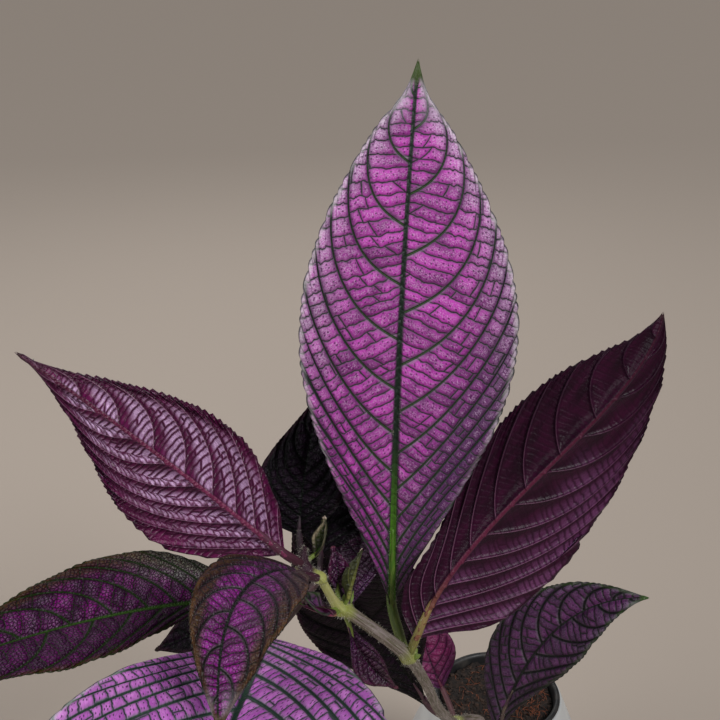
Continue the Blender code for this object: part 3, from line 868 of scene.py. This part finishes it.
LEAVES = {
    "leaf_tall_centre": leaf(
        "pair", [(-57.5, -110, 236), (-58.5, -128, 358), (-50.5, -86, 441)],
        [(0.05, -0.93, 0.3), (0, -0.95, 0.25)], (34.3, 39), widest=(1.13, 1.1), veins=15.5, petiole=1.8,
        step=0.78, columns=62, tooth=(4.6, 0.9, "round"), stalk=((84, 96, 36), (70, 116, 26)), drawn=0.35,
    ),
    "leaf_right_underside": leaf(
        "pair", [(-50, -131, 241), (-36, -113, 284), (30, -108, 323), (33, -103, 359)],
        [(0, 0.97, -0.05), (-0.1, 0.97, -0.05)], (39.5, 22.5), widest=(0.62, 1.15), taper=1.2,
        lobe=(0, 7.5), fold=12, curl=0.05, look="right_under", veins=13, step=0.65, columns=56,
        tooth=(3.4, 0.8, "saw"), relief=1.7, keel=(1.1, 0.9), rim_slot=1,
        stalk=((104, 108, 50), (134, 98, 64)), notches=((-1, 0.43, 0.008, 4.2),),
    ),
    "leaf_left_underside": leaf(
        "top", [(-93.5, -137, 282.5), (-138, -144, 333), (-176, -140, 361)],
        [(-0.15, 0.98, 0), (0, 0.99, 0)], (21, 31), widest=(0.7, 0.6), taper=1.6, look="left_under",
        veins=11.5, step=0.55, tooth=(2.3, 1.4, "saw"), relief=2.2, tilt=0.0, keel=(0.8, 0.7), rim_slot=1,
        stalk=((60, 24, 38), (78, 26, 52)),
    ),
    "leaf_lower_left": leaf(
        "top", [(-109, -134, 262.5), (-155, -145, 271), (-213, -196, 276)], (0, -0.45, 0.9), (16.5, 21.5),
        widest=(1.3, 0.72), taper=1.15, fold=8, look="side", veins=11.5, columns=40, step=0.7,
        tooth=(2.6, 0.7, "round"), relief=0.9, stalk=((90, 80, 50), (90, 110, 50)),
    ),
    "leaf_front_arching": leaf(
        "upper", [(-87.5, -141, 278.5), (-114, -183, 317), (-109, -217, 278)],
        [(-0.2, -0.35, 0.9), (-0.1, -0.85, 0.4)], (22.5, 13.5), widest=(1.07, 0.88), taper=1.1, fold=18,
        look="bronze", columns=38, step=0.65, tooth=(1.9, 0.6, "round"), stalk=((52, 16, 34), (50, 20, 36)),
    ),
    "leaf_front_large": leaf(
        "upper", [(-102, -137, 249), (-96, -218, 301), (-150, -322, 232)], [(0, 0.1, 1), (-0.1, -0.3, 1)],
        (53, 50), widest=(1.09, 1), fold=6, look="violet", veins=14.5, tilt=1.2, petiole=1.8, columns=62,
        step=0.95, tooth=(5.0, 1.0, "round"), stalk=((64, 44, 46), (50, 60, 44)),
    ),
    "leaf_right_small": leaf(
        "low", [(-8, -59, 132), (7, -59.5, 212), (50, -74, 219)], [(-0.2, -0.55, 0.8), (-0.2, -0.75, 0.6)],
        (20, 17), widest=(0.75, 1), fold=12, look="muted", veins=11, columns=38, step=0.7,
        tooth=(3.0, 0.6, "round"), stalk=((96, 88, 62), (62, 40, 52)),
    ),
    "leaf_back_dark": leaf(
        "top", [(-91, -121, 280), (-91, -112.5, 297), (-83, -86, 323)],
        [(-0.1, -0.9, 0.4), (-0.2, -0.9, 0.4)], (17, 15), widest=(0.68, 0.75), fold=8, look="shade",
        veins=9.5, petiole=1.1, columns=30, tooth=(2.0, 0.5, "round"), stalk=((36, 14, 26), (30, 10, 24)),
    ),
    "leaf_behind_stem": leaf(
        "low", [(-30, -36, 138), (-38.5, -34, 154), (-45, -28, 186)], (0.1, -0.9, 0.4), (12, 13), fold=10,
        look="plum", veins=8, petiole=1.2, columns=24, tooth=(1.8, 0.4, "round"),
        stalk=((86, 56, 58), (96, 26, 60)),
    ),
    "leaf_shade_long": leaf(
        "low", [(-36, -50, 137), (-62, -67, 198), (-97, -80, 266)], (-0.2, -0.9, 0.3), (26, 32),
        widest=(1.2, 1.6), fold=10, look="shade", veins=10.5, columns=40, tooth=(2.2, 0.5, "round"),
        stalk=((70, 44, 50), (44, 16, 32)),
    ),
    "leaf_shade_inner": leaf(
        "upper", [(-83.5, -121, 272), (-80, -101, 280), (-73, -88, 296)], (-0.1, -0.75, 0.6), (13, 16),
        widest=(0.8, 0.8), fold=12, look="shade", veins=8, petiole=0.9, columns=26,
        tooth=(1.8, 0.4, "round"), stalk=((44, 18, 30), (34, 12, 26)),
    ),
    "leaf_shade_small": leaf(
        "bud", [(-104, -126, 256), (-127, -120.5, 239), (-146, -121, 230)], (-0.2, -0.5, 0.8), (9, 9),
        fold=15, look="shade", veins=8, petiole=1.1, columns=20, tooth=(1.6, 0.4, "round"),
        stalk=((44, 18, 30), (34, 12, 26)),
    ),
}


def young(joint, path, face, half, fold, look, veins=4, petiole=0.8):
    """A small leaf of one width, whose upper side looks the same way all along."""
    return leaf(
        joint, path, face, (half, half), look=look, fold=fold, veins=veins, petiole=petiole, columns=12,
        step=0.6, tooth=(1.3, 0.25, "round"), wave=0.2, keel=(0.5, 0.6), rib=0.12, relief=0.7,
    )


YOUNG_LEAVES = [
    young(
        "bud", [(-73, -121, 249), (-70, -105, 259), (-66, -88, 277)], (-0.3, -0.9, 0.3), 10, 12,
        "young_plum", 7, 0.9,
    ),
    young(
        "bud", [(-73, -130, 249), (-70, -126.5, 228), (-55, -125, 215)], (0.5, -0.5, -0.6), 7, 35,
        "young_plum", 6, 0.9,
    ),
    young("bud", [(-78, -138, 260), (-80, -145, 264), (-90, -148, 272)], (0.1, 0.3, 0.9), 3.5, 35, "side"),
    young(
        "bud", [(-74, -132.5, 262), (-72.5, -133.2, 269.5), (-69, -125, 278)], (-0.6, 0.5, 0.3), 4, 40,
        "young_green",
    ),
    young(
        "bud", [(-77.5, -129.5, 263), (-75.8, -131.2, 272), (-79, -128, 281)], (0.2, -0.9, 0.3), 4.5, 25,
        "young_plum",
    ),
    young(
        "bud", [(-80, -139, 262), (-83.5, -145.5, 265), (-89, -146, 276)], (0.1, -0.3, 0.9), 5, 25, "muted",
    ),
    young(
        "top", [(-86, -127.5, 276.5), (-81, -127.5, 281), (-82, -123, 290)], (-0.7, -0.6, 0.3), 4, 35,
        "young_green",
    ),
]


def stalk_path(spec):
    """Petiole from the stem's joint into the keel of the blade."""
    start = np.array(JOINTS[spec.joint], float)
    points, ahead = bezier(spec.path, np.array([0.0, 0.03, 0.1, 0.18]))
    face = np.broadcast_to(spec.face, (2, 3))[0]
    face = unit(face - (face @ ahead[0]) * ahead[0])
    first, second = points[1:3] - face * 0.5 * spec.petiole
    elbow = (start + first) / 2 - ahead[0] * np.linalg.norm(first - start) * 0.12
    places = (start, elbow, first, second, points[3] - face * 0.5)
    return [(*place, spec.petiole * share) for place, share in zip(places, (0.65, 1.05, 1, 0.8, 0.3))]


blade_materials = {}
hairs = Body()


def materials_for(look_name):
    """The materials of both sides, made once for each look."""
    if look_name not in blade_materials:
        look = full_look(look_name)
        sides = (("_upper", upper_side), ("_under", under_side))
        blade_materials[look_name] = [leaf_material(look_name + end, look, side) for end, side in sides]
    return blade_materials[look_name]


def tube_hairs(rings, count, length, radius):
    """Hairs all round a tube, from random places on it."""
    roots, directions = [], []
    for _ in range(count):
        row = draw.randrange(1, len(rings) - 1)
        middle = rings[row].mean(axis=0)
        point = rings[row][draw.randrange(len(rings[row]))]
        roots.append(point + (rings[row + 1].mean(axis=0) - middle) * draw.random())
        directions.append(point - middle)
    add_hairs(hairs, roots, directions, length, radius)


for leaf_name, spec in LEAVES.items():
    body = Body()
    add_blade(body, spec, (0, 1))
    rings = add_tube(body, spline(stalk_path(spec), 8), 14, 2, ribs=3, depth=0.06)
    near, far = spec.stalk
    ridge = tuple(min(255, round(v * 1.3 + 8)) for v in near)
    stalk_look = stalk_material(leaf_name + "_stalk", near, far, ridge)
    obj = body.build(leaf_name + "_blade", materials_for(spec.look) + [stalk_look])
    relief(obj, full_look(spec.look), spec.relief)
    finish(obj, leaf_name)
    tube_hairs(rings[: len(rings) * 3 // 4], *STALK_HAIRS)

# The stem's path as (x, y, z, radius), its buds as joint and direction, and their shape as a place along
# the bud and the radius there.
STEM_POINTS = [
    (-9, -19, 76, 2.6), (-10, -21.5, 103, 2.6), (-12, -27, 112, 2.5), (-17, -36, 121, 2.4),
    (-23, -44, 127, 2.5), (-25, -47, 129, 3.1), (-27, -53, 134, 2.3), (-36, -80, 166, 2.15),
    (-43, -102, 198, 2.05), (-50, -122, 226, 2.2), (-52, -128, 233, 3.0), (-55, -130, 238, 2.3),
    (-64, -131, 247, 2.1), (-73, -132, 255.5, 2.2), (-76, -133, 258, 2.8), (-78, -134, 261, 1.8),
    (-82, -135.5, 270.5, 1.5), (-83, -136, 273, 2.2), (-86, -134.5, 274.5, 1.6), (-89, -132, 276, 2.1),
    (-89, -129, 278.5, 1.3), (-88.5, -127, 280, 0.5),
]
BUDS = [("pair", (3.2, -1, -0.5)), ("pair", (2.6, 2.2, -1)), ("bud", (1.5, 2.2, 1.5)), ("low", (-1, -3, 1))]
BUD_SHAPE = [(0.0, 0.9), (1.2, 1.25), (2.4, 1.1), (3.4, 0.6), (4.1, 0.12)]


def stem_skin(graph):
    """Grey-lilac-green ribbed skin, yellow-green at the joints and dark at the top."""
    _, arc, streak, spots = tube_skin(graph, 0.8)
    where = graph.position()
    layers = [((92, 62, 70), spots.smooth(0.5, 0.7) * 0.35)]
    for joint in ("pair", "bud", "low", "upper"):
        ends = {0: where, 1: [v * MM for v in JOINTS[joint]]}
        apart = graph.make("ShaderNodeVectorMath", ends, "Value", operation="DISTANCE")
        layers.append(((150, 160, 66), apart.line(0.0015, 0.0075) * 0.85))
    layers.append(((178, 176, 108), arc.smooth(238, 244) * arc.line(250, 262) * 0.7))
    layers.append(((48, 16, 34), where.split()[0].line(-0.0862, -0.0838)))
    colour = layered(streak.smooth(0.35, 0.65).blend((84, 78, 56), (132, 120, 116)), layers)
    return colour, 0.45 + spots * 0.2, streak * 0.35 + spots * 0.1


def bud_path(joint, offset):
    """A small pointed bud as a short tube."""
    way = unit(np.array(offset, float))
    up = way + np.array([0, 0, 0.8])
    foot = np.array(JOINTS[joint]) + way * 1.9
    return [(*(foot + up * along * 0.75), radius) for along, radius in BUD_SHAPE]


stem = Body()
stem_rings = add_tube(stem, spline(STEM_POINTS, 7), 20, 0, ribs=4, depth=0.07)
tube_hairs(stem_rings[20:], *STEM_HAIRS)
young_looks = ["young_plum", "side", "young_green", "muted"]
for spec in YOUNG_LEAVES:
    slot = 2 + 2 * young_looks.index(spec.look)
    add_blade(stem, spec, (slot, slot + 1))
    add_tube(stem, spline(stalk_path(spec), 5), 10, 1)
for joint, offset in BUDS:
    add_tube(stem, spline(bud_path(joint, offset), 4), 12, 1, ribs=2, depth=0.12)
stem_looks = [
    new_material("stem_skin", stem_skin, 0.9),
    stalk_material("bud_skin", (104, 122, 46), (96, 116, 40), (140, 150, 74)),
]
for look_name in young_looks:
    stem_looks += materials_for(look_name)
stem_obj = stem.build("stem_and_young_leaves", stem_looks)
relief(stem_obj, full_look("young_green"), 0.5)
finish(stem_obj, "stem")


def hair_skin(graph):
    """Grey-white."""
    tone = graph.position().noise(900, 1).smooth(0.35, 0.65)
    return tone.blend((176, 168, 150), (226, 222, 208)), 0.45, 0


# Hairs beside the lower midrib of the tall leaf, then the piece that holds all hairs.
count, length, radius = RIB_HAIRS
at = [draw.uniform(0.03, 0.42) for _ in range(count)]
rib_roots, rib_ways = [], []
for point, ahead, share in zip(*bezier(LEAVES["leaf_tall_centre"].path, at), at):
    side = draw.choice((-1, 1))
    rib_roots.append(point + np.array([side * (1.35 - 0.9 * share), -0.2, 0]))
    rib_ways.append(np.array([side * 1.2, -0.9, 0]) + 0.35 * ahead)
add_hairs(hairs, rib_roots, rib_ways, length, radius, 0.0)
finish(hairs.build("stem_hairs", [new_material("hair", hair_skin)]), "stem", replaces=False)

# Profiles of the pots as (radius, height).
PLANTER_PROFILE = [
    (0, 5), (36, 5), (42, 5.6), (47.3, 12), (49.4, 24), (49.4, 32), (48, 45), (44.5, 59), (39.5, 73),
    (33.5, 88), (30.5, 98), (30.3, 101), (30.3, 103.6), (30.45, 104.5), (31.1, 105), (31.9, 105),
    (32.7, 104.6), (33.1, 103.6), (33.5, 102.5), (35.5, 97.5), (38.3, 90), (44, 75.5), (49, 60),
    (52.3, 46), (53.9, 34), (54, 28), (53.2, 17), (51.2, 8.5), (49, 3.6), (47, 1.0), (46, 0.2), (45.2, 0),
    (44, 0), (20, 0), (0, 0),
]
LINER_PROFILE = [
    (0, 22), (20.5, 22), (21.5, 22.4), (22, 25), (28.6, 101), (28.9, 104.5), (29.1, 105.6), (29.6, 106.4),
    (30.3, 106.7), (31.2, 106.6), (31.7, 106.2), (31.9, 105.7), (31.85, 105.35), (31.4, 105.3),
    (30.4, 105.3), (29.95, 105.2), (29.85, 104.6), (29.7, 103), (22.7, 23), (22.5, 21.3), (21.8, 21),
    (0, 21),
]

# Drain holes: distance from the axis, radius, then the heights between which they are cut.
DRAIN_AT, DRAIN_RADIUS = 14, 3
DRAIN_Z = (18, 26)


def lathe(name, profile, sides, material, times):
    """A round closed body. Its profile starts and ends on the axis, and its corners are rounded off."""
    profile = np.array(profile, float)
    for _ in range(times):
        low = profile[:-1] * 0.75 + profile[1:] * 0.25
        high = profile[:-1] * 0.25 + profile[1:] * 0.75
        middle = np.stack([low, high], axis=1).reshape(-1, 2)
        profile = np.vstack([profile[:1], middle[1:-1], profile[-1:]])
    turn = turns(sides)
    inner = profile[1:-1]
    radius = inner[:, :1]
    points = joined(radius * np.cos(turn), radius * np.sin(turn), inner[:, 1:] + 0 * turn)
    body = Body()
    body.points_of(points)
    body.faces_of(quads(len(inner), sides, closed=True)[:, ::-1], 0)
    start = body.points_of([(0, 0, profile[0][1]), (0, 0, profile[-1][1])])
    first = np.arange(sides)
    last = (len(inner) - 1) * sides + first
    body.faces_of(joined(np.full(sides, start), first, np.roll(first, -1)), 0)
    body.faces_of(joined(np.full(sides, start + 1), np.roll(last, -1), last), 0)
    obj = body.build(name, [material])
    if sum(p.normal.xy.dot(p.center.xy) for p in obj.data.polygons if p.center.xy.length > 0.01) < 0:
        obj.data.flip_normals()
    return obj


def drill(obj, holes, radius, low, high):
    """Cut upright round holes, given by their centres, through an object."""
    body = Body()
    for x, y in holes:
        add_tube(body, np.array([(x, y, low, radius), (x, y, high, radius)], float), 24, 0)
    cutter = body.build("drill", [obj.data.materials[0]])
    modifier = obj.modifiers.new("holes", "BOOLEAN")
    modifier.operation = "DIFFERENCE"
    modifier.solver = "EXACT"
    modifier.object = cutter
    apply_modifiers(obj)
    bpy.data.objects.remove(cutter)


def ceramic_skin(graph):
    """Pale grey glaze: faint clouding, fine specks, a rubbed foot and a slightly uneven surface."""
    where = graph.position()
    cloud = where.noise(38, 3)
    foot = where.split()[2].line(0.0005, 0.0035)
    # These greys are the glaze's own pale grey darkened with painted shade.
    colour = layered(cloud.smooth(0.3, 0.7).blend((172, 173, 173), (190, 191, 189)), [
        ((120, 118, 112), where.scaled(420).voronoi("F1", 1.0, "3D").line(0.05, 0.13) * 0.35),
        ((170, 158, 142), foot * 0.5),
    ])
    return colour, 0.34 + cloud * 0.12 + foot * 0.3, cloud * 0.25 + where.noise(700, 2) * 0.03


def plastic_skin(graph):
    """Thin black nursery plastic with dust and fine moulding grain."""
    where = graph.position()
    dust = where.noise(160, 4)
    colour = (dust.smooth(0.5, 0.75) * 0.5).blend((22, 22, 23), (72, 66, 60))
    return colour, 0.38 + dust * 0.3, where.noise(1500, 2) * 0.05 + dust * 0.06


glaze = new_material("glaze", ceramic_skin, 0.7)
finish(lathe("planter_glazed", PLANTER_PROFILE, 120, glaze, 2), "planter")
plastic = new_material("black_plastic", plastic_skin, 0.7)
nursery_pot = lathe("nursery_pot_thin", LINER_PROFILE, 96, plastic, 1)
angles = [(k + 0.5) * math.pi / 2 for k in range(4)]
drain_holes = [(DRAIN_AT * math.cos(angle), DRAIN_AT * math.sin(angle)) for angle in angles]
drill(nursery_pot, drain_holes, DRAIN_RADIUS, *DRAIN_Z)
finish(nursery_pot, "nursery_pot")

# Soil: its height and radius at the rim, its side as (radius, height), and how far its middle is raised
# and falls off from there.
SOIL_TOP, SOIL_RADIUS = 102.6, 28.2
SOIL_SIDE = [(21.0, 22.5), (24.6, 62.0), (SOIL_RADIUS, 100.5)]
SOIL_RAISED, SOIL_FALL, FALL_REACH = 1.3, 1.6, 30
SOIL_COLUMNS, SOIL_RINGS = 110, 42

# The stem's place and room in the soil, then sizes and heights of the lumps.
STEM_AT, STEM_ROOM = (-10, -21.5), 3.4
LUMPS = ((9, 0.55), (5, 0.4), (2.6, 0.3), (1.4, 0.2))

# Crumbs and fibres: how many, and how far from the axis they lie. No fibre goes past FIBRE_END.
CRUMBS, CRUMB_REACH = 900, 27.2
FIBRES, FIBRE_REACH, FIBRE_END, FIBRE_RADIUS = 210, 26.4, 27.6, 0.13

# About a full turn.
TURN = 6.28

soil_waves = []
for size, height in LUMPS:
    for _ in range(5):
        way = draw.uniform(0, math.pi)
        rate = 2 * math.pi / (size * draw.uniform(0.8, 1.3))
        soil_waves.append((height * 0.45, rate * math.cos(way), rate * math.sin(way), draw.uniform(0, TURN)))


def soil_height(x, y):
    """Lumpy top of the soil, raised in the middle."""
    lumps = sum(size * np.sin(fx * x + fy * y + shift) for size, fx, fy, shift in soil_waves)
    return SOIL_TOP + SOIL_RAISED - SOIL_FALL * (x * x + y * y) / FALL_REACH**2 + lumps


def soil_material(name, dark, light, strength):
    """Crumbly matter of two tones."""

    def skin(graph):
        where = graph.position()
        crumb = where.scaled(900).voronoi("F1", 1.0, "3D")
        tone = where.noise(480, 4)
        colour = tone.smooth(0.35, 0.7).blend(dark, light)
        colour = layered(colour, [((16, 10, 8), crumb.smooth(0.5, 0.9) * 0.5)])
        return colour, 0.92, crumb * -0.5 + tone * 0.5

    return new_material(name, skin, strength)


def make_soil():
    """Lumpy soil, closed down to the nursery pot's floor."""
    body = Body()
    sides = SOIL_COLUMNS
    turn = turns(sides)
    rows = SOIL_SIDE + [(SOIL_RADIUS * (1 - (k + 0.35) / SOIL_RINGS), None) for k in range(SOIL_RINGS)]
    points = []
    for radius, height in rows:
        x, y = radius * np.cos(turn), radius * np.sin(turn)
        z = soil_height(x, y) if height is None else np.full(sides, height)
        points.append(joined(x, y, z))
    body.points_of(np.array(points))
    body.faces_of(quads(len(rows), sides, closed=True), 0)
    body.faces_of(((len(rows) - 1) * sides + np.arange(sides))[None, :], 0)
    body.faces_of(np.arange(sides)[::-1][None, :], 0)
    return body


def add_crumb(body, centre, size):
    """An irregular lump: a turned box with uneven corners."""
    corners = []
    for i, j, k in 2 * np.array(list(np.ndindex(2, 2, 2))) - 1:
        corners.append([i * draw.uniform(0.5, 1), j * draw.uniform(0.5, 1), k * draw.uniform(0.4, 0.8)])
    angle = draw.uniform(0, TURN)
    c, s = math.cos(angle), math.sin(angle)
    corners = size * np.array(corners) @ np.array([[c, s, 0], [-s, c, 0], [0, 0, 1]])
    sides = [(0, 1, 3, 2), (4, 6, 7, 5), (0, 4, 5, 1), (2, 3, 7, 6), (0, 2, 6, 4), (1, 5, 7, 3)]
    start = body.points_of(corners + np.array(centre))
    body.faces_of(np.array(sides) + start, 1)


def add_fibre(body):
    """A thin arched coir fibre that lies on the soil, more of them on the right."""
    radius = FIBRE_REACH * math.sqrt(draw.random())
    angle = draw.uniform(-1.1, 1.4) if draw.random() < 0.6 else draw.uniform(0, TURN)
    way, rise, length = draw.uniform(0, TURN), draw.uniform(0.2, 1.6), draw.uniform(2.5, 7)
    path = []
    for step in range(5):
        along = length * (step / 4 - 0.5)
        x = radius * math.cos(angle) + along * math.cos(way) + draw.uniform(-0.5, 0.5)
        y = radius * math.sin(angle) + along * math.sin(way) + draw.uniform(-0.5, 0.5)
        share = min(1, FIBRE_END / math.hypot(x, y))
        z = float(soil_height(x * share, y * share)) + 0.1 + rise * math.sin(math.pi * step / 4)
        path.append((x * share, y * share, z, FIBRE_RADIUS))
    add_tube(body, spline(path, 2), 4, 2)


soil = make_soil()
for _ in range(CRUMBS):
    radius = CRUMB_REACH * math.sqrt(draw.random())
    angle = draw.uniform(0, TURN)
    x, y = radius * math.cos(angle), radius * math.sin(angle)
    size = draw.uniform(0.25, 0.9) * (1.5 if draw.random() < 0.12 else 1)
    if math.hypot(x - STEM_AT[0], y - STEM_AT[1]) > STEM_ROOM + size:
        add_crumb(soil, (x, y, float(soil_height(x, y)) + 0.1 * size), size)
for _ in range(FIBRES):
    add_fibre(soil)
# The soil's own tones, darkened with painted shade.
soil_looks = [
    soil_material("soil_bed", (20, 13, 9), (42, 28, 20), 1.0),
    soil_material("soil_crumbs", (24, 16, 12), (62, 42, 30), 0.8),
    soil_material("soil_fibres", (84, 40, 24), (146, 82, 52), 0.3),
]
finish(soil.build("soil_surface", soil_looks, flat=(1,)), "soil")


# The rest of the scene is in metres: the floor, the sky's colour and strength, and the photo's camera.
FLOOR, FLOOR_HALF = srgb((172, 160, 149)), 6
SKY, SKY_STRENGTH = (0.95, 0.96, 1, 1), 0.15
CAMERA_AT, CAMERA_TILT, LENS = (-0.0694, -0.4720, 0.5125), 65, 59.0

# The point that lamps look at, then each lamp's name, kind, place, size and power. A sun's size is an angle.
MIDDLE = Vector((-0.07, -0.12, 0.27))
LAMPS = [
    ("key_light", "SUN", (0.5, -0.75, 1.0), 24, 2.2),
    ("side_light", "AREA", (-0.9, -0.5, 0.8), 0.9, 7),
    ("back_light", "AREA", (-0.2, 0.9, 0.9), 0.8, 3),
]


def lamp(name, kind, place, size, power):
    """A soft lamp that looks at the middle of the plant."""
    data = bpy.data.lights.new(name, kind)
    data.energy = power
    if kind == "SUN":
        data.angle = math.radians(size)
    else:
        data.shape = "DISK"
        data.size = size
    obj = add_object(name, data)
    obj.location = place
    obj.rotation_euler = (MIDDLE - Vector(place)).to_track_quat("-Z", "Y").to_euler()


def stage():
    """Plain pale floor, soft lights and the photo's camera."""
    mesh = bpy.data.meshes.new("floor")
    h = FLOOR_HALF
    mesh.from_pydata([(-h, -h, 0), (h, -h, 0), (h, h, 0), (-h, h, 0)], [], [(0, 1, 2, 3)])
    floor = add_object("floor", mesh)
    fixed = {"Specular IOR Level": 0.05}
    mesh.materials.append(new_material("floor_plain", lambda graph: (FLOOR, 0.95, 0), fixed=fixed))
    for values in LAMPS:
        lamp(*values)
    scene = bpy.context.scene
    scene.world = bpy.data.worlds.new("soft_room")
    scene.world.use_nodes = True
    sky = scene.world.node_tree.nodes["Background"]
    sky.inputs["Color"].default_value = SKY
    sky.inputs["Strength"].default_value = SKY_STRENGTH
    lens = bpy.data.cameras.new("camera")
    lens.lens = LENS
    lens.sensor_width = 36
    lens.clip_start = 0.01
    camera = add_object("camera", lens)
    camera.location = CAMERA_AT
    camera.rotation_euler = (math.radians(CAMERA_TILT), 0, 0)
    scene.camera = camera
    scene.view_settings.view_transform = "Standard"
    scene.view_settings.look = "None"


stage()
